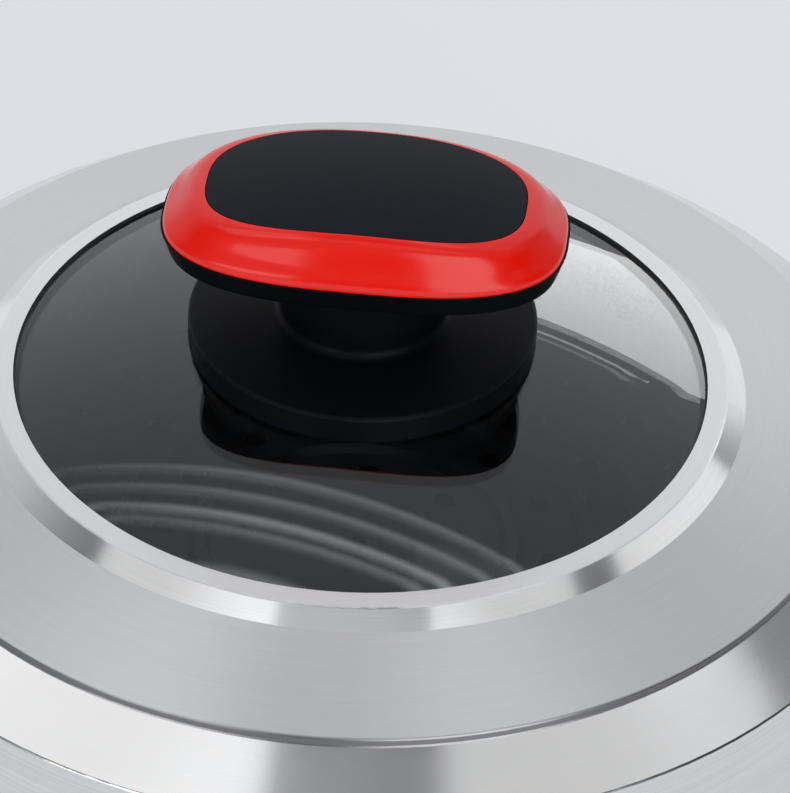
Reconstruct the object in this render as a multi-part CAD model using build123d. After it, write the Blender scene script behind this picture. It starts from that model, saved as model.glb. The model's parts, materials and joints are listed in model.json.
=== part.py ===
from build123d import *

import math
import os

# Electric cooking pot: a polished steel body on a moulded base, a lift-out iron pot, a steam tray
# and a lift-off lid with a smoked glass window and a large knob.
# Millimetres, Z up, controls facing -Y. The pieces are drawn about the pot's axis with the floor at Z = 0.

# Fits and cuts
overrun = 1.0            # how far a cut runs past the face it opens
rest_gap = 0.3           # loose piece above its seat
slip_gap = 0.1           # fixed pieces that slide together
running_gap = 0.05       # shaft in its bearing

# Feet and base cover
foot_radius = 12.0
foot_height = 8.0
foot_taper = 2.0
foot_circle_radius = 112.0
foot_count = 4
foot_start_angle = 45.0
cover_sheet = 2.0
cover_setback = 2.0
vent_length = 26.0
vent_width = 4.0
vent_circle_radius = 62.0
vent_count = 12

# Base housing
base_height = 44.0
service_height = 45.1    # room for the wiring, from the base cover up to the well's floor
base_overhang = 0.8
base_wall = 3.0
base_chamfer = 6.0
base_flange_width = 12.0
base_flange_height = 3.0
spigot_height = 8.0

# Flat pads on the base, for the controls in front and the mains inlet behind
pad_width = 84.0
pad_height = 38.0
pad_corner = 6.0
pad_stand = 3.5
control_rise = 22.0      # dial axis above the base cover
seat_width = 44.0
seat_height = 34.0
seat_stand = 4.4

# Polished shell with its sloping shoulder and the ledge that carries the pot
wall_radius = 146.5
shoulder_run = 18.6
shoulder_rise = 10.74
crease_round = 1.0
shell_sheet = 1.0
ledge_drop = 6.3
ledge_width = 7.4

# Lift-out iron pot
pot_depth = 98.5
pot_floor = 5.0
pot_wall = 3.8
pot_flange_height = 4.2
pot_rim_gap = 0.9        # flange inside the shell's collar
pot_well_gap = 0.7       # pot wall inside the ledge
pot_taper = 6.0
pot_corner = 16.0
step_drop = 35.5         # tray step below the rim
step_width = 3.5

# Steam tray
tray_gap = 1.0
tray_sheet = 0.8
tray_depth = 12.0
tray_wall_gap = 1.5
tray_wall_run = 4.0
rib_height = 2.4
rib_width = 6.0
rib_radii = (42.0, 63.0, 84.0)
tray_hole_radius = 3.2
tray_hole_row_radii = (31.0, 52.5, 73.5, 95.0)
tray_hole_counts = (8, 14, 20, 26)

# Heated well
liner_gap = 3.8
liner_sheet = 0.6
liner_flange = 2.6
insulation_thickness = 13.0
insulation_margin = 9.0
heater_radius = 98.0
heater_thickness = 10.0
spacer_radius = 5.0
spacer_height = 6.0
spacer_circle_radius = 88.0
element_radius = 4.0
element_circle_radius = 70.0
element_gap_angle = 40.0
element_leg = 22.0
leg_hole_gap = 3.0
stud_radius = 3.0
stud_circle_radius = 100.0
stud_count = 3
stud_start_angle = 90.0
stud_tail = 1.0
nut_radius = 5.8
nut_height = 4.5

# Thermostat, its dial and the pilot lamp
thermostat_radius = 16.0
thermostat_length = 16.0
thermostat_plate = 2.0
tab_width = 6.0
tab_thickness = 0.8
tab_length = 8.0
tab_spread = 8.0
bushing_radius = 5.0
bushing_stand = 4.2
bushing_nut_radius = 8.0
bushing_nut_height = 3.0
plate_sheet = 0.8
plate_margin = 2.0
tick_count = 11
tick_sweep = 270.0
tick_length = 2.4
tick_width = 1.0
tick_depth = 0.3
tick_gap = 0.8
shaft_radius = 3.0
shaft_tail = 10.0
dial_gap = 0.5
dial_skirt_radius = 13.0
dial_skirt_height = 4.0
dial_radius = 11.5
dial_depth = 18.0
dial_round = 1.2
dial_cavity_radius = 9.4
dial_cavity_depth = 7.0
dial_bore_depth = 14.0
flute_radius = 1.4
flute_count = 18
pointer_width = 1.8
pointer_depth = 1.0
pointer_inner = 3.5
lamp_offset = 30.0
lens_radius = 4.5
lens_depth = 8.0
lens_stand = 1.8
lamp_radius = 3.0
lamp_length = 14.0
bulb_radius = 3.0
bulb_length = 70.0
bulb_offset = 40.0
bulb_start = 15.0
capillary_radius = 1.0
capillary_rise = 8.0
capillary_reach = 16.0
capillary_bend = 7.0
fuse_radius = 2.5
fuse_length = 26.0
fuse_offset = 45.0

# Mains inlet, terminal block and wires
inlet_flange_width = 50.0
inlet_flange_height = 28.0
inlet_flange_thickness = 2.5
inlet_corner = 3.0
inlet_width = 29.0
inlet_height = 21.0
inlet_length = 26.0
socket_width = 24.0
socket_height = 16.5
socket_depth = 18.0
pin_width = 2.0
pin_height = 4.0
pin_setback = 4.0
pin_tail = 7.0
pin_spread = 7.0
pin_lift = 2.5
inlet_screw_radius = 1.5
inlet_screw_length = 8.0
inlet_screw_head_radius = 2.8
inlet_screw_head_height = 1.8
inlet_screw_offset = 20.0
block_length = 44.0
block_width = 18.0
block_height = 14.0
block_rib = 2.0
block_x = -50.0
block_y = 60.0
wire_radius = 1.2
wire_bend = 6.0
wire_drop = 14.0         # wires below the ends of the element's legs
wire_reach = 20.0

# Side handles
handle_span = 104.0
handle_reach = 36.0
handle_height = 16.0
handle_bar = 14.0
handle_post = 18.0
handle_outer_corner = 22.0
handle_inner_corner = 9.0
handle_round = 4.0
handle_drop = 46.0       # handle's middle below the crease
handle_screw_radius = 2.5
handle_screw_length = 15.0
handle_screw_head_radius = 4.5
handle_screw_head_height = 2.6

# Lid plate and what seats it on the pot
lid_sheet = 1.0
lid_overhang = 2.3
lid_edge_rise = 3.3
lid_cone_rise = 7.6
lip_depth = 1.8
lip_round = 0.8
skirt_gap = 1.0
skirt_depth = 10.5
seal_setback = 0.8

# Glass window
opening_radius = 90.2
bezel_width = 10.2
bezel_height = 3.9
bezel_lip = 0.8
bezel_lip_width = 5.1
bezel_lip_fall = 0.5
bezel_round = 1.2
gasket_show = 0.4
gasket_lip = 0.2
gasket_reach = 5.0
gasket_seat_drop = 3.9
glass_bite = 3.8
glass_thickness = 4.0
glass_rise = 14.0
glass_hole_radius = 4.5

# Knob
pad_thickness = 1.0
pad_setback = 1.4
flange_radius = 45.0
flange_side = 7.2
flange_round = 1.0
flange_rise = 0.8
neck_radius = 21.2
neck_fillet = 2.5
parting_height = 32.7    # head's parting plane above the top of the glass
shell_depth = 6.8
shell_taper = 1.6
shell_floor = 2.5
shell_wall = 3.0
shell_round = 1.4
shell_lip = 0.5          # rim of the lower shell outside the ring
head_half_length = 51.2
head_half_width = 30.3
head_exponent = 2.8
head_crown = 13.7
crown_radius = 190.0
slope_shares = (0.75, 0.5, 0.25, 0.0)
slope_power = 1.8
dome_share = 0.25
cap_share = 0.5
insert_half_length = 40.6
insert_half_width = 22.8
insert_exponent = 2.8
insert_gap = 0.25
insert_seat_depth = 8.2
insert_shelf = 3.0
head_screw_radius = 1.8
head_screw_length = 12.0
head_screw_head_radius = 3.4
head_screw_head_height = 2.2
head_screw_offset = 11.0
knob_screw_radius = 3.0
knob_screw_length = 26.0
knob_screw_head_radius = 6.0
knob_screw_head_height = 3.5
washer_radius = 12.0
washer_thickness = 1.5
under_pad_radius = 13.0
under_pad_thickness = 1.8
outline_points = 48

# Heights of the base, the heater on the well's floor and the pot on the heater
cover_top = foot_height + cover_sheet
base_top = cover_top + base_height
control_z = cover_top + control_rise
liner_floor_bottom = cover_top + service_height
liner_floor_top = liner_floor_bottom + liner_sheet
heater_bottom = liner_floor_top + spacer_height
heater_top = heater_bottom + heater_thickness
pot_bottom = heater_top + rest_gap
pot_inside = pot_bottom + pot_floor
rim_top = pot_inside + pot_depth

# Heights of the shell around the pot and the tray inside it
ledge_top = rim_top - pot_flange_height - rest_gap
shoulder_peak = ledge_top + ledge_drop
crease_z = shoulder_peak - shoulder_rise
step_z = rim_top - step_drop
tray_rim = step_z + rest_gap
tray_floor = tray_rim - tray_depth

# Heights of the lid
lid_edge_top = rim_top + lid_edge_rise
plate_top = lid_edge_top + lid_cone_rise
gasket_seat = plate_top - gasket_seat_drop
bezel_top = plate_top + bezel_height
bezel_under = bezel_top - bezel_lip
glass_edge = bezel_under - gasket_lip
glass_apex = glass_edge + glass_rise
parting_z = glass_apex + parting_height
shell_bottom = parting_z - shell_depth
insert_seat = parting_z + head_crown - insert_seat_depth
under_pad_bottom = glass_apex - glass_thickness - under_pad_thickness
washer_bottom = under_pad_bottom - washer_thickness

# Radii that follow from the sizes above
base_radius = wall_radius + base_overhang
spigot_radius = wall_radius - shell_sheet - slip_gap
base_inner_radius = spigot_radius - base_wall
pad_face = base_radius + pad_stand
pad_root = math.sqrt(base_inner_radius**2 - (pad_width / 2) ** 2)
seat_depth = base_inner_radius - seat_stand
plate_face = pad_face + plate_sheet
dial_back = plate_face + dial_gap
collar_radius = wall_radius - shoulder_run
ledge_radius = collar_radius - ledge_width
shoulder_slope = shoulder_rise / shoulder_run
pot_flange_radius = collar_radius - pot_rim_gap
pot_radius = ledge_radius - pot_well_gap
mouth_radius = pot_radius - pot_wall
step_radius = mouth_radius - step_width
tray_radius = mouth_radius - tray_gap
liner_radius = pot_radius + liner_gap
lid_radius = collar_radius + lid_overhang
skirt_radius = mouth_radius - skirt_gap
bezel_foot_radius = opening_radius + bezel_width
gasket_radius = opening_radius + gasket_reach
glass_radius = opening_radius + glass_bite
step_wall_radius = gasket_radius + slip_gap
lid_slope = lid_cone_rise / (lid_radius - bezel_foot_radius)
dome_radius = (opening_radius**2 + glass_rise**2) / (2 * glass_rise)
dome_centre_z = glass_apex - dome_radius


def turned(*points):
    """Solid of revolution about Z through (radius, height) points."""
    return revolve(Plane.XZ * make_face(Polyline(*points, close=True).edges()), axis=Axis.Z)


def rod(radius, bottom, top):
    """Upright cylinder on the Z axis."""
    return extrude(Plane.XY.offset(bottom) * Circle(radius), top - bottom)


def tube(outer, inner, bottom, top):
    """Upright ring on the Z axis."""
    return turned((inner, bottom), (outer, bottom), (outer, top), (inner, top))


def hex_nut(radius, bore, bottom, top):
    """Upright hexagonal nut on the Z axis."""
    return extrude(Plane.XY.offset(bottom) * (RegularPolygon(radius, 6) - Circle(bore)), top - bottom)


def front_plane(depth):
    """Plane that faces -Y at this distance from the axis, level with the controls."""
    return Plane(origin=(0, -depth, control_z), x_dir=(1, 0, 0), z_dir=(0, -1, 0))


def back_plane(depth):
    """Plane that faces +Y at this distance from the axis, level with the controls."""
    return Plane(origin=(0, depth, control_z), x_dir=(-1, 0, 0), z_dir=(0, 1, 0))


def between(plane_at, near, far, sketch):
    """Sketch on a front or back plane, drawn out from one distance to another."""
    return extrude(plane_at(near) * sketch, far - near)


def round_edges(solid, radius_of_edge, height, fillet_radius):
    """Round the circular edge that has this radius at this height."""
    edges = solid.edges().filter_by(GeomType.CIRCLE)
    edges = edges.filter_by(lambda e: math.isclose(e.radius, radius_of_edge, rel_tol=1e-6))
    edges = edges.filter_by(lambda e: math.isclose(e.arc_center.Z, height, rel_tol=1e-6))
    return fillet(edges, fillet_radius)


def group(solids):
    """Several separate solids in one piece of the parts list."""
    return Compound([solid for item in solids for solid in item.solids()])


# Feet, cover and base housing


def make_feet():
    outline = [(0, 0), (foot_radius - foot_taper, 0), (foot_radius, foot_taper)]
    foot = turned(*outline, (foot_radius, foot_height), (0, foot_height))
    return group(place * foot for place in PolarLocations(foot_circle_radius, foot_count, foot_start_angle))


def stud_places():
    return PolarLocations(stud_circle_radius, stud_count, stud_start_angle)


def make_base_cover():
    cover = rod(base_radius - base_chamfer - cover_setback, foot_height, cover_top)
    slot = extrude(SlotOverall(vent_length, vent_width), cover_top + overrun)
    cover -= [place * slot for place in PolarLocations(vent_circle_radius, vent_count)]
    hole = rod(stud_radius + slip_gap, 0, cover_top + overrun)
    return cover - [place * hole for place in stud_places()]


def pad_block(plane_at):
    block = between(plane_at, pad_root, pad_face, RectangleRounded(pad_width, pad_height, pad_corner))
    return block - rod(base_inner_radius, 0, base_top)


def make_base_housing():
    flange_inner = base_inner_radius - base_flange_width
    flange_top = cover_top + base_flange_height
    spigot_top = base_top + spigot_height
    housing = turned(
        (flange_inner, cover_top),
        (base_radius - base_chamfer, cover_top),
        (base_radius, cover_top + base_chamfer),
        (base_radius, base_top),
        (spigot_radius, base_top),
        (spigot_radius, spigot_top),
        (base_inner_radius, spigot_top),
        (base_inner_radius, flange_top),
        (flange_inner, flange_top),
    )
    housing += [pad_block(front_plane), pad_block(back_plane)]
    housing += between(front_plane, seat_depth, base_inner_radius, Rectangle(seat_width, seat_height))
    bore = Circle(bushing_radius + slip_gap) + Pos(lamp_offset, 0) * Circle(lens_radius + slip_gap)
    housing -= between(front_plane, seat_depth - overrun, pad_face + overrun, bore)
    mouth = RectangleRounded(inlet_width + 2 * slip_gap, inlet_height + 2 * slip_gap, inlet_corner)
    housing -= between(back_plane, pad_root - overrun, pad_face + overrun, mouth)
    drilled = inlet_screw_pair(Circle(inlet_screw_radius + slip_gap))
    return housing - between(back_plane, pad_face - inlet_screw_length, pad_face + overrun, drilled)


# Polished shell


def shoulder_height(radius):
    return crease_z + (wall_radius - radius) * shoulder_slope


def make_outer_shell():
    inner_wall = wall_radius - shell_sheet
    collar_outer = collar_radius + shell_sheet
    cone_drop = shell_sheet * math.hypot(1, shoulder_slope)
    shell = turned(
        (wall_radius, base_top),
        (wall_radius, crease_z),
        (collar_radius, shoulder_peak),
        (collar_radius, ledge_top),
        (ledge_radius, ledge_top),
        (ledge_radius, ledge_top - shell_sheet),
        (collar_outer, ledge_top - shell_sheet),
        (collar_outer, shoulder_height(collar_outer) - cone_drop),
        (inner_wall, shoulder_height(inner_wall) - cone_drop),
        (inner_wall, base_top),
    )
    shell = round_edges(shell, wall_radius, crease_z, crease_round)
    return shell - [place * handle_screw_hole() for place in handle_screw_places()]


# Lift-out pot and steam tray


def make_inner_pot():
    bottom_radius = pot_radius - pot_taper
    inner_bottom_radius = step_radius - pot_taper
    pot = turned(
        (0, pot_bottom),
        (bottom_radius, pot_bottom),
        (pot_radius, ledge_top + rest_gap),
        (pot_flange_radius, ledge_top + rest_gap),
        (pot_flange_radius, rim_top),
        (mouth_radius, rim_top),
        (mouth_radius, step_z),
        (step_radius, step_z),
        (inner_bottom_radius, pot_inside),
        (0, pot_inside),
    )
    pot = round_edges(pot, bottom_radius, pot_bottom, pot_corner)
    return round_edges(pot, inner_bottom_radius, pot_inside, pot_corner - pot_floor)


def rib_points(height):
    points = []
    for radius in reversed(rib_radii):
        points.append((radius + rib_width / 2, height))
        points.append((radius + rib_width / 4, height + rib_height))
        points.append((radius - rib_width / 4, height + rib_height))
        points.append((radius - rib_width / 2, height))
    return points


def make_steam_tray():
    wall_top = step_radius - tray_wall_gap
    wall_bottom = wall_top - tray_wall_run
    top_side = [(tray_radius, tray_rim + tray_sheet), (wall_top - tray_sheet, tray_rim + tray_sheet)]
    top_side += [(wall_bottom - tray_sheet, tray_floor + tray_sheet)]
    top_side += rib_points(tray_floor + tray_sheet) + [(0, tray_floor + tray_sheet)]
    under_side = [(tray_radius, tray_rim), (wall_top, tray_rim), (wall_bottom, tray_floor)]
    under_side += rib_points(tray_floor) + [(0, tray_floor)]
    tray = turned(*top_side, *reversed(under_side))
    hole = rod(tray_hole_radius, tray_floor - overrun, tray_floor + tray_sheet + overrun)
    holes = [hole]
    for radius, count in zip(tray_hole_row_radii, tray_hole_counts):
        holes += [place * hole for place in PolarLocations(radius, count)]
    return tray - holes


# Heated well under and around the pot


def element_end():
    """Place of the element's right-hand end, seen from above."""
    angle = math.radians(element_gap_angle / 2)
    return element_circle_radius * math.sin(angle), element_circle_radius * math.cos(angle)


def element_legs(radius, top, bottom):
    """Upright rods at the two ends of the heating element."""
    side, back = element_end()
    return [Pos(x, back) * rod(radius, bottom, top) for x in (-side, side)]


def make_heat_liner():
    outer = liner_radius + liner_sheet
    top = ledge_top - shell_sheet
    liner = turned(
        (0, liner_floor_bottom),
        (outer, liner_floor_bottom),
        (outer, top - liner_sheet),
        (outer + liner_flange, top - liner_sheet),
        (outer + liner_flange, top),
        (liner_radius, top),
        (liner_radius, liner_floor_top),
        (0, liner_floor_top),
    )
    return liner - element_legs(element_radius + leg_hole_gap, heater_bottom, liner_floor_bottom - overrun)


def make_insulation():
    inner = liner_radius + liner_sheet + slip_gap
    bottom = base_top + spigot_height + insulation_margin
    top = ledge_top - shell_sheet - insulation_margin
    return tube(inner + insulation_thickness, inner, bottom, top)


def make_heater_plate():
    plate = rod(heater_radius, heater_bottom, heater_top)
    groove = Torus(element_circle_radius, element_radius + slip_gap)
    return plate - Pos(0, 0, heater_bottom) * groove


def make_heating_element():
    section = Plane.XZ * Pos(element_circle_radius, heater_bottom) * Circle(element_radius)
    coil = revolve(section, axis=Axis.Z, revolution_arc=360 - element_gap_angle)
    element = Rot(0, 0, 90 + element_gap_angle / 2) * coil
    for leg in element_legs(element_radius, heater_bottom, heater_bottom - element_leg):
        middle = leg.center()
        element += leg
        element += Pos(middle.X, middle.Y, heater_bottom) * Sphere(element_radius)
    return element


def make_heater_spacers():
    spacer = rod(spacer_radius, liner_floor_top, heater_bottom)
    places = PolarLocations(spacer_circle_radius, stud_count, stud_start_angle)
    return group(place * spacer for place in places)


def make_tie_studs():
    stud = rod(stud_radius, foot_height - nut_height - stud_tail, liner_floor_bottom)
    return group(place * stud for place in stud_places())


def make_tie_nuts():
    nut = hex_nut(nut_radius, stud_radius + slip_gap, foot_height - nut_height, foot_height)
    return group(place * nut for place in stud_places())


# Thermostat and dial


def make_thermostat_body():
    plate_back = seat_depth - thermostat_plate
    can_back = plate_back - thermostat_length
    body = between(front_plane, plate_back, seat_depth, Rectangle(seat_width, seat_height))
    body += between(front_plane, can_back, plate_back, Circle(thermostat_radius))
    for x in (-tab_spread, tab_spread):
        tab = Pos(x, 0) * Rectangle(tab_width, tab_thickness)
        body += between(front_plane, can_back - tab_length, can_back, tab)
    well = Circle(shaft_radius + running_gap)
    return body - between(front_plane, seat_depth - shaft_tail - rest_gap, seat_depth + overrun, well)


def make_thermostat_bushing():
    section = Circle(bushing_radius) - Circle(shaft_radius + running_gap)
    return between(front_plane, seat_depth, plate_face + bushing_stand, section)


def make_bushing_nut():
    section = RegularPolygon(bushing_nut_radius, 6) - Circle(bushing_radius + slip_gap)
    return between(front_plane, plate_face, plate_face + bushing_nut_height, section)


def make_control_plate():
    width = pad_width - 2 * plate_margin
    height = pad_height - 2 * plate_margin
    section = RectangleRounded(width, height, pad_corner - plate_margin) - Circle(bushing_radius + slip_gap)
    section -= Pos(lamp_offset, 0) * Circle(lens_radius + slip_gap)
    plate = between(front_plane, pad_face, plate_face, section)
    tick = Pos(0, dial_skirt_radius + tick_gap + tick_length / 2) * Rectangle(tick_width, tick_length)
    step = tick_sweep / (tick_count - 1)
    turns = [tick_sweep / 2 - step * number for number in range(tick_count)]
    ticks = Sketch() + [Rot(0, 0, turn) * tick for turn in turns]
    return plate - between(front_plane, plate_face - tick_depth, plate_face + overrun, ticks)


def make_dial_knob():
    knob = rod(dial_skirt_radius, 0, dial_skirt_height) + rod(dial_radius, 0, dial_depth)
    knob = round_edges(knob, dial_radius, dial_depth, dial_round)
    flute = rod(flute_radius, dial_skirt_height, dial_depth + overrun)
    knob -= [place * flute for place in PolarLocations(dial_radius + flute_radius / 2, flute_count)]
    knob -= rod(dial_cavity_radius, -overrun, dial_cavity_depth)
    knob -= rod(shaft_radius + slip_gap, 0, dial_bore_depth)
    return dial_off() * (knob - pointer_bar(slip_gap))


def dial_off():
    """Place of the dial, turned to the first tick."""
    return front_plane(dial_back) * Rot(0, 0, tick_sweep / 2)


def pointer_bar(gap):
    """Radial bar let into the dial's face, larger by the gap on its sides."""
    length = dial_radius - flute_radius - dial_round - pointer_inner
    bar = Rectangle(pointer_width + 2 * gap, length + 2 * gap)
    floor = Plane.XY.offset(dial_depth - pointer_depth)
    return extrude(floor * Pos(0, pointer_inner + length / 2) * bar, pointer_depth)


def make_dial_pointer():
    return dial_off() * pointer_bar(0)


def make_dial_shaft():
    return between(front_plane, seat_depth - shaft_tail, dial_back + dial_bore_depth, Circle(shaft_radius))


def make_pilot_lens():
    spot = Pos(lamp_offset, 0) * Circle(lens_radius)
    lens = between(front_plane, pad_face - lens_depth, plate_face + lens_stand, spot)
    front = lens.faces().sort_by(Axis.Y)[0]
    return fillet(front.edges(), lens_stand / 2)


def make_pilot_lamp():
    spot = Pos(lamp_offset, 0) * Circle(lamp_radius)
    lens_back = pad_face - lens_depth
    return between(front_plane, lens_back - lamp_length, lens_back, spot)


def thermostat_back():
    return seat_depth - thermostat_plate - thermostat_length


def make_thermostat_bulb():
    bulb_z = liner_floor_bottom - bulb_radius
    bulb_front = bulb_length - bulb_start
    bulb_end = Plane.XZ.offset(-bulb_start) * Pos(bulb_offset, bulb_z)
    bulb = extrude(bulb_end * Circle(bulb_radius), bulb_length)
    start = Vector(0, -thermostat_back(), control_z + capillary_rise)
    bend = Vector(0, -thermostat_back() + capillary_reach, control_z + capillary_rise)
    corner = Vector(bulb_offset, -thermostat_back() + capillary_reach, bulb_z)
    end = Vector(bulb_offset, -bulb_front, bulb_z)
    path = FilletPolyline(start, bend, corner, end, radius=capillary_bend)
    return bulb + wire_along(path, capillary_radius)


def make_thermal_fuse():
    middle = Pos(-fuse_offset, 0, liner_floor_bottom - fuse_radius)
    return middle * (Rot(0, 90, 0) * Cylinder(fuse_radius, fuse_length))


# Mains inlet and wiring


def inlet_screw_pair(sketch):
    return Pos(-inlet_screw_offset, 0) * sketch + Pos(inlet_screw_offset, 0) * sketch


def inlet_pin_places():
    return [Pos(-pin_spread, -pin_lift), Pos(0, pin_lift), Pos(pin_spread, -pin_lift)]


def make_inlet_socket():
    flange = RectangleRounded(inlet_flange_width, inlet_flange_height, inlet_corner)
    flange -= inlet_screw_pair(Circle(inlet_screw_radius + slip_gap))
    outer_face = pad_face + inlet_flange_thickness
    back_face = pad_face - inlet_length
    socket = between(back_plane, pad_face, outer_face, flange)
    barrel = RectangleRounded(inlet_width, inlet_height, inlet_corner)
    socket += between(back_plane, back_face, pad_face, barrel)
    recess = RectangleRounded(socket_width, socket_height, inlet_corner)
    socket -= between(back_plane, outer_face - socket_depth, outer_face + overrun, recess)
    slot = Rectangle(pin_width + 2 * slip_gap, pin_height + 2 * slip_gap)
    slots = Sketch() + [place * slot for place in inlet_pin_places()]
    return socket - between(back_plane, back_face - overrun, outer_face, slots)


def make_inlet_pins():
    near = pad_face - inlet_length - pin_tail
    far = pad_face + inlet_flange_thickness - pin_setback
    pin = Rectangle(pin_width, pin_height)
    return group(between(back_plane, near, far, place * pin) for place in inlet_pin_places())


def make_inlet_screws():
    outer_face = pad_face + inlet_flange_thickness
    screws = []
    for x in (-inlet_screw_offset, inlet_screw_offset):
        shank = Pos(x, 0) * Circle(inlet_screw_radius)
        head = Pos(x, 0) * Circle(inlet_screw_head_radius)
        screw = between(back_plane, pad_face - inlet_screw_length + overrun, outer_face, shank)
        screws.append(screw + between(back_plane, outer_face, outer_face + inlet_screw_head_height, head))
    return group(screws)


def make_terminal_block():
    middle = Plane(origin=(block_x, block_y, cover_top))
    block = extrude(middle * Rectangle(block_length, block_width), block_height)
    for x in (-block_length / 6, block_length / 6):
        block += extrude(middle * Pos(x, 0) * Rectangle(block_rib, block_width), block_height + block_rib)
    return block


def wire_along(path, radius):
    start = Plane(origin=path @ 0, z_dir=path % 0)
    return sweep(start * Circle(radius), path=path)


def make_wiring():
    block_z = cover_top + block_height / 2
    block_back = block_y + block_width / 2
    block_front = block_y - block_width / 2
    port = block_length / 3
    inlet_back = pad_face - inlet_length
    stat_back = thermostat_back()
    stat_z = control_z - thermostat_radius / 2
    inlet_z = control_z - inlet_height / 3
    side, leg_y = element_end()
    leg_z = heater_bottom - element_leg
    low = leg_z - wire_drop
    routes = [
        [(-pin_spread / 2, inlet_back, inlet_z), (-pin_spread / 2, inlet_back - wire_reach, inlet_z),
         (block_x + port, block_back + wire_reach, block_z), (block_x + port, block_back, block_z)],
        [(block_x - port, block_front, block_z), (block_x - port, -block_y, block_z),
         (-tab_spread, -stat_back + wire_reach, stat_z), (-tab_spread, -stat_back, stat_z)],
        [(tab_spread, -stat_back, stat_z), (tab_spread, -stat_back + wire_reach, stat_z),
         (side, leg_y - wire_reach, low), (side, leg_y, low), (side, leg_y, leg_z)],
        [(block_x, block_front, block_z), (block_x, block_front - wire_reach, block_z),
         (-side, block_front - wire_reach, block_z), (-side, leg_y, block_z), (-side, leg_y, leg_z)],
    ]
    paths = [FilletPolyline(*[Vector(*point) for point in route], radius=wire_bend) for route in routes]
    return group(wire_along(path, wire_radius) for path in paths)


# Side handles


def handle_z():
    return crease_z - handle_drop


def handle_screw_angle():
    return math.degrees(math.asin((handle_span - handle_post) / 2 / wall_radius))


def handle_screw_places():
    angle = handle_screw_angle()
    return [Rot(0, 0, turn) for turn in (angle, -angle, 180 + angle, 180 - angle)]


def radial_rod(radius, near, far):
    """Cylinder along X at the handles' height."""
    return extrude(Plane(origin=(near, 0, handle_z()), z_dir=(1, 0, 0)) * Circle(radius), far - near)


def handle_screw_hole():
    return radial_rod(handle_screw_radius + slip_gap, collar_radius, wall_radius + handle_screw_length)


def make_handle(side):
    root = wall_radius * math.cos(math.asin(handle_span / 2 / wall_radius))
    outer_length = wall_radius + handle_reach - root
    inner_length = outer_length - handle_bar
    middle = Plane(origin=(0, 0, handle_z() - handle_height / 2))
    outer = RectangleRounded(2 * outer_length, handle_span, handle_outer_corner)
    inner = RectangleRounded(2 * inner_length, handle_span - 2 * handle_post, handle_inner_corner)
    bar = extrude(middle * Pos(root, 0) * (outer - inner), handle_height)
    flat = bar.faces().filter_by(Axis.Z)
    bar = fillet(flat.edges(), handle_round)
    bar -= rod(wall_radius + slip_gap, 0, shoulder_peak)
    bar -= [place * handle_screw_hole() for place in handle_screw_places()]
    return Rot(0, 0, 90 - 90 * side) * bar


def make_handle_screws():
    head_face = wall_radius - shell_sheet - slip_gap
    shank = radial_rod(handle_screw_radius, head_face, wall_radius + handle_screw_length - overrun)
    head = radial_rod(handle_screw_head_radius, head_face - handle_screw_head_height, head_face)
    return group(place * (shank + head) for place in handle_screw_places())


# Lid plate, skirt and seal


def plate_height(radius):
    """Top of the brushed plate at this radius: level under the bezel, a cone outside it."""
    return plate_top - max(0, radius - bezel_foot_radius) * lid_slope


def plate_under(radius):
    return plate_height(radius) - lid_sheet


def make_lid_plate():
    ledge_inner = opening_radius - gasket_show
    wall_outer = step_wall_radius + lid_sheet
    lip_inner = lid_radius - lid_sheet
    lip_bottom = lid_edge_top - lip_depth
    plate = turned(
        (ledge_inner, gasket_seat),
        (step_wall_radius, gasket_seat),
        (step_wall_radius, plate_top),
        (bezel_foot_radius, plate_top),
        (lid_radius, lid_edge_top),
        (lid_radius, lip_bottom),
        (lip_inner, lip_bottom),
        (lip_inner, plate_under(lip_inner)),
        (bezel_foot_radius, plate_under(bezel_foot_radius)),
        (wall_outer, plate_under(bezel_foot_radius)),
        (wall_outer, gasket_seat - lid_sheet),
        (ledge_inner, gasket_seat - lid_sheet),
    )
    return round_edges(plate, lid_radius, lid_edge_top, lip_round)


def make_lid_skirt():
    inner = skirt_radius - lid_sheet
    bottom = rim_top - skirt_depth
    return turned(
        (inner, bottom),
        (skirt_radius, bottom),
        (skirt_radius, plate_under(skirt_radius)),
        (inner, plate_under(inner)),
    )


def make_lid_seal():
    inner = skirt_radius + slip_gap
    outer = pot_flange_radius - seal_setback
    bottom = rim_top + rest_gap
    return turned(
        (inner, bottom),
        (outer, bottom),
        (outer, plate_under(outer)),
        (inner, plate_under(inner)),
    )


# Glass window


def dome_z(radius, offset):
    """Height of the glass's dome, or of a dome that far outside it."""
    return dome_centre_z + math.sqrt((dome_radius + offset) ** 2 - radius**2)


def dome_arc(start, end, offset):
    middle = (start + end) / 2
    return ThreePointArc(*[(radius, dome_z(radius, offset)) for radius in (start, middle, end)])


def turned_edges(*edges):
    """Solid of revolution about Z from edges in (radius, height)."""
    return revolve(Plane.XZ * make_face(list(edges)), axis=Axis.Z)


def dome_shell(inner, outer, low_offset, high_offset):
    """Ring cut from between two domes that share the glass's centre."""
    return turned_edges(
        dome_arc(inner, outer, high_offset),
        Line((outer, dome_z(outer, high_offset)), (outer, dome_z(outer, low_offset))),
        dome_arc(outer, inner, low_offset),
        Line((inner, dome_z(inner, low_offset)), (inner, dome_z(inner, high_offset))),
    )


def make_lid_glass():
    return dome_shell(glass_hole_radius, glass_radius, -glass_thickness, 0)


def make_glass_gasket():
    ring = tube(gasket_radius, opening_radius - gasket_show, gasket_seat, bezel_under)
    return ring - make_lid_glass()


def make_glass_bezel():
    crest_radius = opening_radius + bezel_lip_width
    crest_top = bezel_top - bezel_lip_fall
    bezel = turned(
        (opening_radius, bezel_under),
        (opening_radius, bezel_top),
        (crest_radius, crest_top),
        (bezel_foot_radius, plate_top),
        (step_wall_radius, plate_top),
        (step_wall_radius, bezel_under),
    )
    return round_edges(bezel, crest_radius, crest_top, bezel_round)


# Knob


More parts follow.
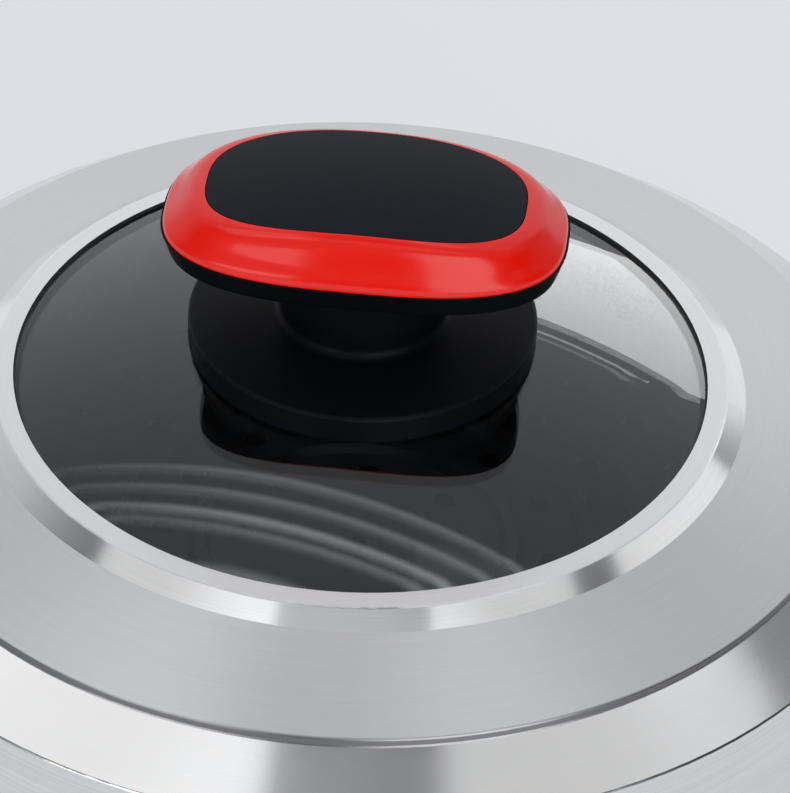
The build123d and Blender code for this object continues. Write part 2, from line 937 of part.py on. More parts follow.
def make_knob_pad():
    return dome_shell(glass_hole_radius, flange_radius - pad_setback, 0, pad_thickness)


def make_knob_under_pad():
    offset = -glass_thickness - slip_gap
    inner_top = dome_z(glass_hole_radius, offset)
    outer_top = dome_z(under_pad_radius, offset)
    return turned_edges(
        dome_arc(glass_hole_radius, under_pad_radius, offset),
        Line((under_pad_radius, outer_top), (under_pad_radius, under_pad_bottom)),
        Line((under_pad_radius, under_pad_bottom), (glass_hole_radius, under_pad_bottom)),
        Line((glass_hole_radius, under_pad_bottom), (glass_hole_radius, inner_top)),
    )


def make_knob_washer():
    return tube(washer_radius, knob_screw_radius + slip_gap, washer_bottom, under_pad_bottom)


def make_knob_screw():
    head = rod(knob_screw_head_radius, washer_bottom - knob_screw_head_height, washer_bottom)
    return head + rod(knob_screw_radius, washer_bottom, washer_bottom + knob_screw_length)


def quarter_arc(start, end, centre):
    """Quarter circle from start to end about a centre, all in (radius, height)."""
    bend = math.sin(math.radians(45))
    middle = [c + (a + b - 2 * c) * bend for a, b, c in zip(start, end, centre)]
    return ThreePointArc(start, tuple(middle), end)


def make_knob_base():
    flange_bottom = dome_z(flange_radius, pad_thickness)
    flange_top = flange_bottom + flange_side
    side_top = (flange_radius, flange_top - flange_round)
    rim = (flange_radius - flange_round, flange_top)
    root = (neck_radius + neck_fillet, flange_top + flange_rise)
    neck = (neck_radius, root[1] + neck_fillet)
    base = turned_edges(
        dome_arc(0, flange_radius, pad_thickness),
        Line((flange_radius, flange_bottom), side_top),
        quarter_arc(side_top, rim, (rim[0], side_top[1])),
        Line(rim, root),
        quarter_arc(root, neck, (root[0], neck[1])),
        Polyline(neck, (neck_radius, shell_bottom), (0, shell_bottom)),
        Line((0, shell_bottom), (0, dome_z(0, pad_thickness))),
    )
    base -= rod(knob_screw_radius + slip_gap, 0, washer_bottom + knob_screw_length + overrun)
    hole = rod(head_screw_radius + slip_gap, shell_bottom - head_screw_length - overrun, parting_z)
    return base - [Pos(x, 0) * hole for x in (-head_screw_offset, head_screw_offset)]


def outline(half_length, half_width, exponent):
    """Points of a squared oval: |x/a|^n + |y/b|^n = 1."""
    points = []
    for number in range(outline_points):
        angle = 2 * math.pi * number / outline_points
        across = math.cos(angle)
        along = math.sin(angle)
        reach = (abs(across) ** exponent + abs(along) ** exponent) ** (-1 / exponent)
        points.append((half_length * across * reach, half_width * along * reach))
    return points


def loop(points):
    return Wire([Edge.make_spline([Vector(*point) for point in points], periodic=True)])


def flat_loop(points, height):
    return loop([(x, y, height) for x, y in points])


def head_outline(inset):
    return outline(head_half_length - inset, head_half_width - inset, head_exponent)


def insert_outline(inset):
    return outline(insert_half_length - inset, insert_half_width - inset, insert_exponent)


def crown_z(x, y):
    """Height of the knob's domed top."""
    return parting_z + head_crown - crown_radius + math.sqrt(crown_radius**2 - x**2 - y**2)


def head_plan(share):
    """Plan of the head's slope: share 0 is the insert's edge and share 1 the parting plane."""
    pairs = zip(insert_outline(0), head_outline(0))
    return [(x + (far_x - x) * share, y + (far_y - y) * share) for (x, y), (far_x, far_y) in pairs]


def slope_loop(share):
    drop = share**slope_power
    tops = [crown_z(x, y) for x, y in insert_outline(0)]
    return loop([(x, y, top - (top - parting_z) * drop) for (x, y), top in zip(head_plan(share), tops)])


def head_top():
    """The head's slope, carried in over the insert's edge to a flat cap."""
    loops = [slope_loop(share) for share in slope_shares]
    loops.append(loop([(x, y, crown_z(x, y)) for x, y in head_plan(-dome_share)]))
    cap = head_plan(-cap_share)
    cap_z = sum(crown_z(x, y) for x, y in cap) / outline_points
    loops.append(flat_loop(cap, cap_z))
    return Solid.make_loft([flat_loop(head_outline(0), parting_z), *loops])


def plug(points, bottom, top):
    """Upright plug with a flat bottom and top."""
    return extrude(Face(flat_loop(points, bottom)), top - bottom, dir=(0, 0, 1))


def make_knob_ring():
    above = parting_z + head_crown + overrun
    ring = head_top() - plug(insert_outline(0), insert_seat, above)
    return ring - plug(insert_outline(insert_shelf), parting_z - overrun, insert_seat + overrun)


def make_knob_insert():
    above = parting_z + head_crown + overrun
    crown_centre = Pos(0, 0, parting_z + head_crown - crown_radius)
    return plug(insert_outline(insert_gap), insert_seat, above) & crown_centre * Sphere(crown_radius)


def make_knob_lower_shell():
    rim = flat_loop(head_outline(-shell_lip), parting_z)
    shell = Solid.make_loft([flat_loop(head_outline(shell_taper), shell_bottom), rim], ruled=True)
    shell = fillet(shell.faces().sort_by(Axis.Z)[0].edges(), shell_round)
    shell -= plug(head_outline(shell_wall + shell_taper), shell_bottom + shell_floor, parting_z + overrun)
    hole = rod(head_screw_radius + slip_gap, shell_bottom - overrun, parting_z)
    return shell - [Pos(x, 0) * hole for x in (-head_screw_offset, head_screw_offset)]


def make_knob_head_screws():
    seat = shell_bottom + shell_floor
    screw = rod(head_screw_radius, shell_bottom - head_screw_length, seat)
    screw += rod(head_screw_head_radius, seat, seat + head_screw_head_height)
    return group(Pos(x, 0) * screw for x in (-head_screw_offset, head_screw_offset))


pieces = {
    "feet": make_feet(),
    "base_cover": make_base_cover(),
    "base_housing": make_base_housing(),
    "outer_shell": make_outer_shell(),
    "heat_liner": make_heat_liner(),
    "insulation": make_insulation(),
    "heater_plate": make_heater_plate(),
    "heating_element": make_heating_element(),
    "heater_spacers": make_heater_spacers(),
    "tie_studs": make_tie_studs(),
    "tie_nuts": make_tie_nuts(),
    "thermostat_body": make_thermostat_body(),
    "thermostat_bushing": make_thermostat_bushing(),
    "bushing_nut": make_bushing_nut(),
    "thermostat_bulb": make_thermostat_bulb(),
    "thermal_fuse": make_thermal_fuse(),
    "control_plate": make_control_plate(),
    "pilot_lens": make_pilot_lens(),
    "pilot_lamp": make_pilot_lamp(),
    "inlet_socket": make_inlet_socket(),
    "inlet_pins": make_inlet_pins(),
    "inlet_screws": make_inlet_screws(),
    "terminal_block": make_terminal_block(),
    "wiring": make_wiring(),
    "handle_left": make_handle(-1),
    "handle_right": make_handle(1),
    "handle_screws": make_handle_screws(),
    "dial_knob": make_dial_knob(),
    "dial_pointer": make_dial_pointer(),
    "dial_shaft": make_dial_shaft(),
    "inner_pot": make_inner_pot(),
    "steam_tray": make_steam_tray(),
    "lid_plate": make_lid_plate(),
    "lid_skirt": make_lid_skirt(),
    "lid_seal": make_lid_seal(),
    "lid_glass": make_lid_glass(),
    "glass_gasket": make_glass_gasket(),
    "glass_bezel": make_glass_bezel(),
    "knob_pad": make_knob_pad(),
    "knob_under_pad": make_knob_under_pad(),
    "knob_washer": make_knob_washer(),
    "knob_screw": make_knob_screw(),
    "knob_base": make_knob_base(),
    "knob_lower_shell": make_knob_lower_shell(),
    "knob_ring": make_knob_ring(),
    "knob_insert": make_knob_insert(),
    "knob_head_screws": make_knob_head_screws(),
}

# The origin is the middle of the whole footprint, so the pot's axis lies a little behind it
front_reach = dial_back + dial_depth
back_reach = pad_face + inlet_flange_thickness + inlet_screw_head_height
footprint = Pos(0, (front_reach - back_reach) / 2, 0)

os.makedirs("parts", exist_ok=True)
for name, piece in pieces.items():
    export_step(footprint * piece, f"parts/{name}.step")
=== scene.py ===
import json
import math

import bpy
from mathutils import Matrix, Vector


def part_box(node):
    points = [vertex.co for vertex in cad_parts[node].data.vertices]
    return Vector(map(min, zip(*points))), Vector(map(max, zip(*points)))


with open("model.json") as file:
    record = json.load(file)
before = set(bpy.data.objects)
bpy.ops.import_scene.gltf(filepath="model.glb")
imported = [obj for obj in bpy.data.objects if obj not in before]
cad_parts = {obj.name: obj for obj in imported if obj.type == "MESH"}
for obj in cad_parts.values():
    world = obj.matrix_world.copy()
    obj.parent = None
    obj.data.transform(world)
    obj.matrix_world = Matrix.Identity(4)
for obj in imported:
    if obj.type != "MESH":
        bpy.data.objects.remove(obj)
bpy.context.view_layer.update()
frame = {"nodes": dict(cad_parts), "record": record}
nodes = frame["nodes"]

# The pot's axis and the rim of the glass window, read from the frame
glass_low, glass_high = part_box("lid_glass")
_, bezel_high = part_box("glass_bezel")
AXIS_X = (glass_low[0] + glass_high[0]) / 2
AXIS_Y = (glass_low[1] + glass_high[1]) / 2
RIM_Z = bezel_high[2]


# Shader graphs

# Most of a noise texture's values lie between these
NOISE_LOW = 0.3
NOISE_HIGH = 0.7

# Colour sockets of the Mix node, by number because several share a name
MIX_FACTOR = 0
MIX_ONE = 6
MIX_TWO = 7
MIX_RESULT = 2


class NodeTree:
    """A node tree, built a node at a time."""

    def __init__(self, tree):
        self.tree = tree

    def fill(self, socket, value):
        """Link an output to a socket, or set the socket to a constant."""
        if isinstance(value, bpy.types.NodeSocket):
            self.tree.links.new(value, socket)
        else:
            socket.default_value = value

    def node(self, kind, inputs=None, **settings):
        made = self.tree.nodes.new(kind)
        for key, value in settings.items():
            setattr(made, key, value)
        for key, value in (inputs or {}).items():
            self.fill(made.inputs[key], value)
        return made

    def math(self, operation, *values):
        return self.node("ShaderNodeMath", dict(enumerate(values)), operation=operation).outputs[0]

    def span(self, value, low, high, start=NOISE_LOW, end=NOISE_HIGH):
        """Value from start to end, mapped to low to high."""
        inputs = {"Value": value, "From Min": start, "From Max": end, "To Min": low, "To Max": high}
        return self.node("ShaderNodeMapRange", inputs).outputs["Result"]

    def split(self, vector):
        """X, Y and Z of a vector."""
        return self.node("ShaderNodeSeparateXYZ", {0: vector}).outputs

    def light_path(self):
        return self.node("ShaderNodeLightPath").outputs


class Graph(NodeTree):
    """A material's node tree."""

    def __init__(self, name):
        self.material = bpy.data.materials.new(name)
        self.material.use_nodes = True
        super().__init__(self.material.node_tree)
        self.tree.nodes.clear()
        self.coords = self.node("ShaderNodeTexCoord").outputs["Object"]

    def vector_math(self, operation, *values):
        inputs = dict(enumerate(values))
        return self.node("ShaderNodeVectorMath", inputs, operation=operation).outputs

    def noise(self, scale, detail=3.0, vector=None):
        inputs = {"Scale": scale, "Detail": detail, "Vector": vector or self.coords}
        return self.node("ShaderNodeTexNoise", inputs).outputs["Fac"]

    def streaks(self, across, around, detail):
        """Noise that is fine from the pot's axis outwards and down, and coarse around it."""
        centred = self.vector_math("SUBTRACT", self.coords, (AXIS_X, AXIS_Y, 0.0))[0]
        flat = self.vector_math("MULTIPLY", centred, (1.0, 1.0, 0.0))[0]
        radius = self.vector_math("LENGTH", flat)["Value"]
        turn = self.split(self.vector_math("NORMALIZE", flat)[0])
        height = self.split(centred)["Z"]
        rings = self.node("ShaderNodeCombineXYZ", {
            "X": self.math("MULTIPLY", self.math("SUBTRACT", radius, height), across),
            "Y": self.math("MULTIPLY", turn["X"], around),
            "Z": self.math("MULTIPLY", turn["Y"], around),
        }).outputs[0]
        return self.noise(1.0, detail, rings)

    def weigh(self, one, two, share):
        """Sum of two patterns, the first with this share of the whole."""
        rest = self.math("MULTIPLY", two, 1.0 - share)
        return self.math("ADD", self.math("MULTIPLY", one, share), rest)

    def blend(self, factor, one, two):
        inputs = {MIX_FACTOR: factor, MIX_ONE: one, MIX_TWO: two}
        return self.node("ShaderNodeMix", inputs, data_type="RGBA").outputs[MIX_RESULT]

    def shades(self, pattern, dark, light):
        """Colour from dark to light by a noise pattern."""
        return self.blend(self.span(pattern, 0.0, 1.0), dark, light)

    def bump(self, height, strength, distance):
        inputs = {"Height": height, "Strength": strength, "Distance": distance}
        return self.node("ShaderNodeBump", inputs).outputs["Normal"]

    def upward(self):
        """How far the surface faces up: 1 on top, 0 on a wall."""
        return self.split(self.node("ShaderNodeNewGeometry").outputs["Normal"])["Z"]

    def mix_shaders(self, factor, one, two):
        return self.node("ShaderNodeMixShader", {0: factor, 1: one, 2: two}).outputs[0]

    def finish(self, inputs, surface=None):
        shader = self.node("ShaderNodeBsdfPrincipled", inputs).outputs["BSDF"]
        made = surface(shader) if surface else shader
        self.node("ShaderNodeOutputMaterial", {"Surface": made})
        return self.material


def colour(red, green, blue):
    return (red, green, blue, 1.0)


def grey(level):
    return colour(level, level, level)


# Metals


def brushed_steel():
    """Brushed on top, with painted shade where the edge turns down."""
    g = Graph("brushed_steel")
    fine = g.streaks(across=2600.0, around=7.0, detail=2.0)
    broad = g.streaks(across=520.0, around=3.0, detail=2.0)
    mixed = g.weigh(fine, broad, share=0.65)
    # Mask of the turned-down edge, which gets a painted shade for the dark gap under the plate's
    # rim
    level = g.span(g.math("ABSOLUTE", g.upward()), 0.0, 1.0, start=0.35, end=0.9)
    top = g.shades(mixed, grey(0.63), colour(0.68, 0.68, 0.685))
    return g.finish({
        # grey(0.24) on the edge is painted shade; the steel there is as bright as the top
        "Base Color": g.blend(level, grey(0.24), top),
        "Metallic": 1.0,
        "Roughness": g.span(mixed, 0.29, 0.35),
        "Anisotropic": 0.7,
        "Anisotropic Rotation": 0.25,
        "Tangent": g.node("ShaderNodeTangent", direction_type="RADIAL", axis="Z").outputs[0],
        "Normal": g.bump(mixed, strength=0.05, distance=0.0002),
    })


def mirror_steel():
    """Polished on the shoulder, brushed around the wall."""
    g = Graph("mirror_steel")
    lines = g.streaks(across=1700.0, around=1.6, detail=3.0)
    broad = g.streaks(across=420.0, around=1.0, detail=2.0)
    haze = g.span(g.noise(60.0), 0.13, 0.16)
    wall = g.span(g.upward(), 1.0, 0.0, start=0.1, end=0.6)
    wall_roughness = 0.14
    dark = g.blend(wall, grey(0.78), grey(0.66))
    return g.finish({
        "Base Color": g.shades(g.weigh(lines, broad, share=0.75), dark, colour(0.80, 0.80, 0.805)),
        "Metallic": 1.0,
        "Roughness": g.math("MULTIPLY_ADD", wall, wall_roughness, haze),
        "Normal": g.bump(lines, strength=0.004, distance=0.0001),
    })


def bezel_steel():
    """Satin on the level lip, polished on the bevel."""
    g = Graph("bezel_steel")
    lines = g.streaks(across=1900.0, around=5.0, detail=3.0)
    level = g.span(g.upward(), 0.0, 1.0, start=0.87, end=0.97)
    satin = g.span(lines, 0.22, 0.28)
    polish = 0.11
    return g.finish({
        "Base Color": g.shades(lines, grey(0.80), colour(0.84, 0.84, 0.845)),
        "Metallic": 1.0,
        "Roughness": g.math("ADD", g.math("MULTIPLY", level, satin), polish),
        "Normal": g.bump(lines, strength=0.02, distance=0.0001),
    })


def plain_steel():
    g = Graph("plain_steel")
    mottle = g.noise(180.0, detail=4.0)
    grain = g.noise(1400.0, detail=2.0)
    return g.finish({
        "Base Color": g.shades(mottle, grey(0.50), colour(0.60, 0.60, 0.61)),
        "Metallic": 1.0,
        "Roughness": g.span(mottle, 0.28, 0.45),
        "Normal": g.bump(grain, strength=0.05, distance=0.0002),
    })


def cast_metal(name, dark, light, rough):
    g = Graph(name)
    lumps = g.noise(420.0, detail=5.0)
    stain = g.noise(30.0)
    spread = 0.08
    return g.finish({
        "Base Color": g.shades(stain, dark, light),
        "Metallic": 0.6,
        "Roughness": g.span(lumps, rough - spread, rough + spread),
        "Normal": g.bump(lumps, strength=0.35, distance=0.0006),
    })


def bright_metal(name, dark, light, grain):
    """Turned, drawn or brushed metal, by the grain's scale along each axis."""
    g = Graph(name)
    marks = g.noise(1.0, vector=g.vector_math("MULTIPLY", g.coords, grain)[0])
    return g.finish({
        "Base Color": g.shades(marks, dark, light),
        "Metallic": 1.0,
        "Roughness": g.span(marks, 0.2, 0.34),
    })


# Plastics, enamel, rubber, ceramic, glass and wool


def grained_plastic(name, dark, light, rough, grain_scale, grain_strength, gloss):
    g = Graph(name)
    grain = g.noise(grain_scale)
    drift = g.noise(24.0, detail=2.0)
    spread = 0.06
    return g.finish({
        "Base Color": g.shades(drift, dark, light),
        "Roughness": g.span(grain, rough - spread, rough + spread),
        "Specular IOR Level": gloss,
        "Normal": g.bump(grain, grain_strength, distance=0.0001),
    })


def red_gloss():
    g = Graph("red_gloss")
    drift = g.noise(18.0, detail=2.0)
    orange_peel = g.noise(260.0, detail=2.0)
    return g.finish({
        "Base Color": g.shades(drift, colour(0.82, 0.007, 0.001), colour(0.86, 0.009, 0.002)),
        "Roughness": g.span(orange_peel, 0.14, 0.18),
        "Normal": g.bump(orange_peel, strength=0.01, distance=0.0002),
    })


def smoked_glass():
    """Tinted glass with a pale shadow."""
    g = Graph("smoked_glass")
    drift = g.noise(9.0, detail=2.0)

    def pale_shadow(shader):
        clear = g.node("ShaderNodeBsdfTransparent", {"Color": grey(0.55)}).outputs[0]
        return g.mix_shaders(g.light_path()["Is Shadow Ray"], shader, clear)

    return g.finish({
        "Base Color": g.shades(drift, colour(0.50, 0.53, 0.57), colour(0.54, 0.57, 0.61)),
        "Roughness": 0.0,
        "IOR": 1.5,
        "Transmission Weight": 1.0,
    }, pale_shadow)


def clear_lens(name, dark, light):
    g = Graph(name)
    drift = g.noise(300.0, detail=2.0)
    return g.finish({
        "Base Color": g.shades(drift, dark, light),
        "Roughness": g.span(drift, 0.06, 0.14),
        "Transmission Weight": 0.6,
    })


def insulation_wool():
    g = Graph("insulation_wool")
    fibres = g.noise(900.0, detail=6.0)
    return g.finish({
        "Base Color": g.shades(fibres, colour(0.62, 0.58, 0.48), colour(0.80, 0.77, 0.68)),
        "Roughness": 0.95,
        "Normal": g.bump(fibres, strength=0.6, distance=0.001),
    })


# Finishes, by the record's material slots

BLACK = colour(0.003, 0.003, 0.004)
EVEN_GRAIN = (900.0, 900.0, 900.0)
LEVEL_GRAIN = (40.0, 40.0, 2400.0)
PLAIN_GLOSS = 0.5

# Dark and light shade, roughness
CAST_METALS = {
    "black_iron": (grey(0.02), grey(0.045), 0.55),
    "cast_aluminium": (grey(0.42), grey(0.55), 0.42),
}

# Dark and light shade, grain
BRIGHT_METALS = {
    "satin_aluminium": (grey(0.56), grey(0.64), LEVEL_GRAIN),
    "bright_brass": (colour(0.62, 0.44, 0.16), colour(0.74, 0.56, 0.24), EVEN_GRAIN),
    "copper_tube": (colour(0.58, 0.27, 0.15), colour(0.70, 0.36, 0.22), EVEN_GRAIN),
}

# Dark and light shade, roughness, grain scale, grain strength, gloss
PLASTICS = {
    "black_enamel": (grey(0.008), grey(0.014), 0.34, 500.0, 0.1, 0.4),
    "base_plastic": (BLACK, grey(0.014), 0.48, 1500.0, 0.35, PLAIN_GLOSS),
    "knob_plastic": (
        colour(0.002, 0.0025, 0.004), colour(0.003, 0.0035, 0.005), 0.42, 2200.0, 0.12, 0.09,
    ),
    # soft_touch: the black is the insert's own colour; its blue tint is painted reflection of the
    # room's bluish light
    "soft_touch": (
        colour(0.0015, 0.004, 0.009), colour(0.002, 0.005, 0.010), 0.46, 2600.0, 0.16, 0.13,
    ),
    "white_gloss": (grey(0.72), grey(0.78), 0.30, 900.0, 0.05, PLAIN_GLOSS),
    "rubber_black": (BLACK, grey(0.016), 0.62, 1200.0, 0.2, PLAIN_GLOSS),
    "silicone_grey": (grey(0.05), grey(0.07), 0.5, 1200.0, 0.15, PLAIN_GLOSS),
    "white_ceramic": (colour(0.66, 0.63, 0.56), grey(0.72), 0.6, 700.0, 0.2, PLAIN_GLOSS),
    "wire_sleeve": (
        colour(0.36, 0.32, 0.25), colour(0.46, 0.42, 0.34), 0.8, 2400.0, 0.6, PLAIN_GLOSS,
    ),
}

# Dark and light shade
LENSES = {
    "lens_amber": (colour(0.55, 0.08, 0.01), colour(0.70, 0.14, 0.02)),
    "lamp_glass": (colour(0.80, 0.62, 0.45), colour(0.88, 0.72, 0.55)),
}

FAMILIES = (
    (cast_metal, CAST_METALS),
    (bright_metal, BRIGHT_METALS),
    (grained_plastic, PLASTICS),
    (clear_lens, LENSES),
)


def make_finishes():
    finishes = {
        "brushed_steel": brushed_steel(),
        "mirror_steel": mirror_steel(),
        "bezel_steel": bezel_steel(),
        "plain_steel": plain_steel(),
        "red_gloss": red_gloss(),
        "smoked_glass": smoked_glass(),
        "insulation_wool": insulation_wool(),
    }
    for make, rows in FAMILIES:
        for slot, values in rows.items():
            finishes[slot] = make(slot, *values)
    return finishes


def dress_nodes():
    finishes = make_finishes()
    for subpart in frame["record"]["subparts"]:
        materials = nodes[subpart["node"]].data.materials
        materials.clear()
        materials.append(finishes[subpart["material_slot"]])


# Floor

FLOOR_HALF = 4.0
FLOOR_GLOW = 0.6


def floor_material():
    """A floor that partly glows to whatever sees it, and still takes shadows."""
    g = Graph("studio_floor")
    drift = g.noise(1.6, detail=2.0)
    shade = g.shades(drift, colour(0.85, 0.86, 0.90), colour(0.88, 0.89, 0.93))
    glow = g.node("ShaderNodeEmission", {"Color": shade, "Strength": 1.0}).outputs[0]
    path = g.light_path()
    mirrored = g.math("MAXIMUM", path["Is Glossy Ray"], path["Is Transmission Ray"])
    seen = g.math("MAXIMUM", path["Is Camera Ray"], mirrored)

    def lift(shader):
        return g.mix_shaders(g.math("MULTIPLY", seen, FLOOR_GLOW), shader, glow)

    return g.finish({"Base Color": shade, "Roughness": 0.8}, lift)


def make_floor():
    mesh = bpy.data.meshes.new("studio_floor")
    signs = ((-1, -1), (1, -1), (1, 1), (-1, 1))
    corners = [(x * FLOOR_HALF, y * FLOOR_HALF, 0.0) for x, y in signs]
    mesh.from_pydata(corners, [], [(0, 1, 2, 3)])
    mesh.materials.append(floor_material())
    floor = bpy.data.objects.new("studio_floor", mesh)
    bpy.context.scene.collection.objects.link(floor)


# World

WORLD_COLOUR = colour(0.985, 1.0, 1.035)
BACKDROP = 0.72

# Brightness of the room from the front, at 0, through overhead to the back, at 1
ROOM_LEVELS = (
    (0.0, 0.14),
    (0.43, 0.14),
    (0.50, 0.18),
    (0.64, 0.53),
    (0.75, 0.62),
    (0.90, 0.85),
    (1.0, 0.94),
)

# A shade and two glows, with the parts of a direction at which each starts and is full
RIGHT_SHADE = 0.6
RIGHT_SHADE_X = (0.58, 0.68)
SIDE_GLOW = 0.3
SIDE_GLOW_X = (0.2, 0.5)
SIDE_GLOW_Y = (-0.3, -0.6)
FRONT_GLOW = 0.44
FRONT_GLOW_Y = (-0.18, -0.31)
FRONT_GLOW_Z = (0.78, 0.9)

# Rows of ceiling lights, as places across the rows and brightnesses
ROWS_START = 0.15
ROWS_END = 0.55
ROW_SLOPE = 0.35
ROW_WIDTH = 0.014
ROW_LEFT_END = (-0.8, -0.2)
ROW_RIGHT_END = (0.34, 0.24)
ROWS_LOWEST_Z = 0.2
ROWS = ((0.215, 1.4), (0.316, 1.6), (0.353, 3.0), (0.415, 1.7), (0.48, 1.7))


class WorldGraph(NodeTree):
    """The world's node tree, read by direction."""

    def __init__(self, name):
        world = bpy.data.worlds.new(name)
        bpy.context.scene.world = world
        world.use_nodes = True
        super().__init__(world.node_tree)
        self.x, self.y, self.z = self.split(self.node("ShaderNodeTexCoord").outputs["Generated"])

    def rise(self, value, start, end):
        """0 up to start, 1 from end on."""
        return self.span(value, 0.0, 1.0, start, end)

    def levels(self, value, stops):
        """Level at a value from 0 to 1, in straight lines between the stops."""
        made = self.node("ShaderNodeValToRGB", {"Fac": value})
        elements = made.color_ramp.elements
        for place, _ in stops[1:-1]:
            elements.new(place)
        for element, (place, level) in zip(elements, stops):
            element.position = place
            element.color = grey(level)
        return made.outputs["Color"]


def row_stops():
    stops = [(0.0, 0.0)]
    for place, level in ROWS:
        middle = (place - ROWS_START) / (ROWS_END - ROWS_START)
        half = ROW_WIDTH / (ROWS_END - ROWS_START)
        stops += [(middle - half, 0.0), (middle, level), (middle + half, 0.0)]
    return stops + [(1.0, 0.0)]


def room_light(g):
    """Light of the room from front to back, darker on the right."""
    shaded = g.math("MULTIPLY_ADD", g.rise(g.x, *RIGHT_SHADE_X), -RIGHT_SHADE, 1.0)
    return g.math("MULTIPLY", shaded, g.levels(g.rise(g.y, -1.0, 1.0), ROOM_LEVELS))


def add_rows(g, light):
    """Rows of lights across the ceiling, fading out at both ends."""
    above = g.math("MAXIMUM", g.z, ROWS_LOWEST_Z)
    across = g.math("DIVIDE", g.x, above)
    along = g.math("MULTIPLY_ADD", across, ROW_SLOPE, g.math("DIVIDE", g.y, above))
    rows = g.levels(g.rise(along, ROWS_START, ROWS_END), row_stops())
    ends = g.math("MULTIPLY", g.rise(across, *ROW_LEFT_END), g.rise(across, *ROW_RIGHT_END))
    return g.math("MULTIPLY_ADD", rows, ends, light)


def add_glows(g, light):
    """Glows low at both sides and high at the front."""
    sideways = g.rise(g.math("ABSOLUTE", g.x), *SIDE_GLOW_X)
    sides = g.math("MULTIPLY", sideways, g.rise(g.y, *SIDE_GLOW_Y))
    front = g.math("MULTIPLY", g.rise(g.z, *FRONT_GLOW_Z), g.rise(g.y, *FRONT_GLOW_Y))
    light = g.math("MULTIPLY_ADD", sides, SIDE_GLOW, light)
    return g.math("MULTIPLY_ADD", front, FRONT_GLOW, light)


def make_world():
    """Room light on the object, an even backdrop for the camera."""
    g = WorldGraph("studio_world")
    light = add_glows(g, add_rows(g, room_light(g)))
    seen = g.light_path()["Is Camera Ray"]
    unseen = g.math("SUBTRACT", 1.0, seen)
    total = g.math("ADD", g.math("MULTIPLY", light, unseen), g.math("MULTIPLY", seen, BACKDROP))
    shade = g.tree.nodes["Background"]
    g.fill(shade.inputs["Color"], WORLD_COLOUR)
    g.fill(shade.inputs["Strength"], total)


# Lamps

CEILING_Z = 1.25

# Ceiling lamps, by two corners and radiance, each for one node, or for all but those that have
# their own
CEILING_LAMPS = (
    ("top_left", (-1.00, -0.55), (-0.25, 0.12), 0.95, None),
    ("top_right", (0.095, -0.55), (1.40, 0.36), 0.22, None),
    ("shell_left", (-1.10, -0.55), (-0.155, 0.12), 0.85, "outer_shell"),
    ("shell_right", (0.26, -0.55), (1.10, 0.36), 0.55, "outer_shell"),
    ("bezel_left", (-0.98, -0.60), (-0.226, 0.10), 0.58, "glass_bezel"),
    ("bezel_right", (0.31, -0.60), (0.84, 0.20), 0.56, "glass_bezel"),
    ("bezel_far_right", (1.02, 0.05), (1.90, 1.60), 0.66, "glass_bezel"),
)
OWN_LAMPS = ("outer_shell", "glass_bezel")

# Upright lamps at the front, by place, width, height and radiance
FRONT_LAMPS = (
    ("front_left", (-0.78, -1.32, 0.60), 0.95, 0.66, 1.5),
    ("front_right", (0.72, -1.32, 0.90), 1.05, 1.60, 1.7),
)

FILL_PLACE = (0.0, -1.2, 1.3)
FILL_WIDTH = 1.4
FILL_HEIGHT = 1.0
FILL_RADIANCE = 1.3

# Window panes, by shift to the side, middle's height, width, height and radiance
WINDOW_BEARING = math.radians(18.5)
WINDOW_DISTANCE = 1.45
WINDOW_PANES = (
    ("window", -0.075, 0.735, 0.75, 0.57, 3.3),
    ("window_bar", -0.065, 1.108, 0.37, 0.015, 2.2),
)


def area_lamp(name, place, turn, width, height, radiance):
    """Rectangular lamp of an even brightness that the camera doesn't see."""
    lamp = bpy.data.lights.new(name, "AREA")
    lamp.shape = "RECTANGLE"
    lamp.size = width
    lamp.size_y = height
    lamp.energy = radiance * math.pi * width * height
    made = bpy.data.objects.new(name, lamp)
    bpy.context.scene.collection.objects.link(made)
    made.location = place
    made.rotation_euler = turn
    made.visible_camera = False
    return made


def softbox(name, place, target, width, height, radiance):
    """Lamp turned to face a point, its width level."""
    turn = (Vector(target) - Vector(place)).to_track_quat("-Z", "Y").to_euler()
    return area_lamp(name, place, turn, width, height, radiance)


def overhead(name, low, high, radiance):
    """Lamp under the ceiling that spans two corners seen from above."""
    middle = ((low[0] + high[0]) / 2, (low[1] + high[1]) / 2, CEILING_Z)
    return area_lamp(name, middle, (0.0, 0.0, 0.0), high[0] - low[0], high[1] - low[1], radiance)


def light_nodes(lamp, names, state="INCLUDE"):
    """Keep a lamp's light to some nodes, or keep it off them."""
    receivers = bpy.data.collections.new(f"{lamp.name}_receivers")
    for name in names:
        receivers.objects.link(nodes[name])
    for entry in receivers.collection_objects:
        entry.light_linking.link_state = state
    lamp.light_linking.receiver_collection = receivers


def make_lamps():
    for name, low, high, radiance, node in CEILING_LAMPS:
        lamp = overhead(name, low, high, radiance)
        if node:
            light_nodes(lamp, [node])
        else:
            light_nodes(lamp, OWN_LAMPS, "EXCLUDE")
    for name, place, width, height, radiance in FRONT_LAMPS:
        softbox(name, place, (0.0, 0.0, place[2]), width, height, radiance)
    aim = (AXIS_X, AXIS_Y, RIM_Z)
    fill = softbox("fill", FILL_PLACE, aim, FILL_WIDTH, FILL_HEIGHT, FILL_RADIANCE)
    fill.visible_glossy = False


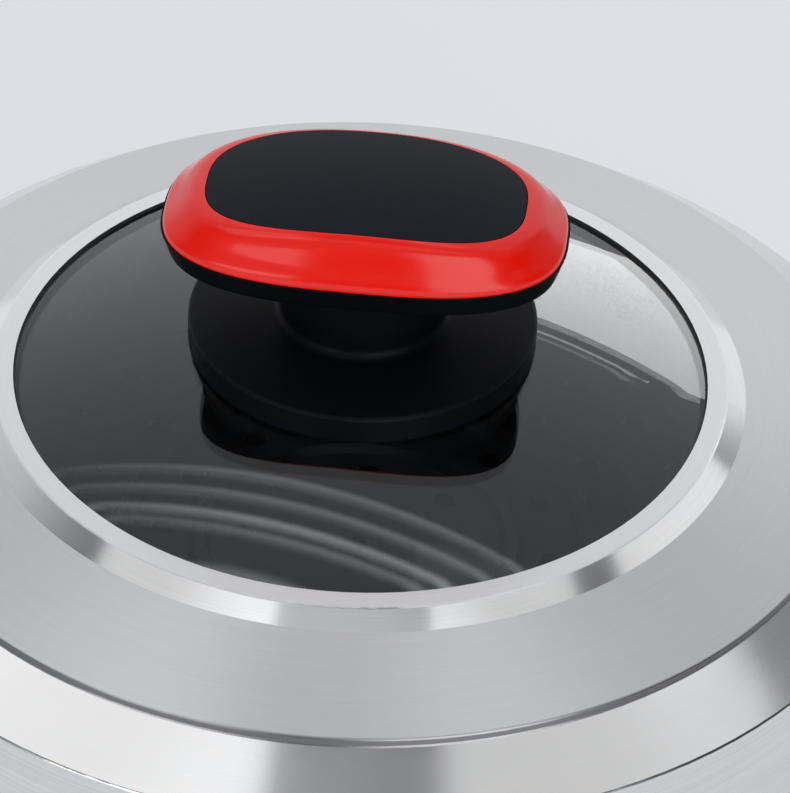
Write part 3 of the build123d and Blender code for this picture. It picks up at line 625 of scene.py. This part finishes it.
def make_window():
    """A window at the back that shows in the glass alone."""
    outward = Vector((math.sin(WINDOW_BEARING), math.cos(WINDOW_BEARING), 0.0))
    sideways = Vector((math.cos(WINDOW_BEARING), -math.sin(WINDOW_BEARING), 0.0))
    for name, shift, middle, width, height, radiance in WINDOW_PANES:
        place = outward * WINDOW_DISTANCE + sideways * shift + Vector((AXIS_X, AXIS_Y, middle))
        pane = softbox(name, place, place - outward, width, height, radiance)
        light_nodes(pane, ["lid_glass"])


# Camera, fitted to the photo with the radius of the glass opening as the unit of length

PICTURE_WIDTH = 790
PICTURE_HEIGHT = 793
FOCAL_PIXELS = 4000.0
ELEVATION = math.radians(37.94)
AZIMUTH = math.radians(4.81)
ROLL = math.radians(2.21)
FIT_UNIT = 0.0902
CAMERA_DISTANCE = 11.4253 * FIT_UNIT
AIM_ACROSS = 0.1008 * FIT_UNIT
AIM_ALONG = -0.1369 * FIT_UNIT


def make_camera():
    forward = Vector((
        -math.sin(AZIMUTH) * math.cos(ELEVATION),
        math.cos(AZIMUTH) * math.cos(ELEVATION),
        -math.sin(ELEVATION),
    ))
    right = Vector((math.cos(AZIMUTH), math.sin(AZIMUTH), 0.0))
    up = right.cross(forward)
    side = right * math.cos(ROLL) + up * math.sin(ROLL)
    top = up * math.cos(ROLL) - right * math.sin(ROLL)
    aim = Vector((
        AXIS_X + AIM_ACROSS * math.cos(AZIMUTH) - AIM_ALONG * math.sin(AZIMUTH),
        AXIS_Y + AIM_ACROSS * math.sin(AZIMUTH) + AIM_ALONG * math.cos(AZIMUTH),
        RIM_Z,
    ))
    place = aim - forward * CAMERA_DISTANCE
    data = bpy.data.cameras.new("camera")
    data.lens = FOCAL_PIXELS / max(PICTURE_WIDTH, PICTURE_HEIGHT) * data.sensor_width
    made = bpy.data.objects.new("camera", data)
    bpy.context.scene.collection.objects.link(made)
    turn = Matrix((side, top, -forward)).transposed()
    made.matrix_world = Matrix.Translation(place) @ turn.to_4x4()
    bpy.context.scene.camera = made


dress_nodes()
make_floor()
make_world()
make_lamps()
make_window()
make_camera()

bpy.context.scene.view_settings.view_transform = "Standard"
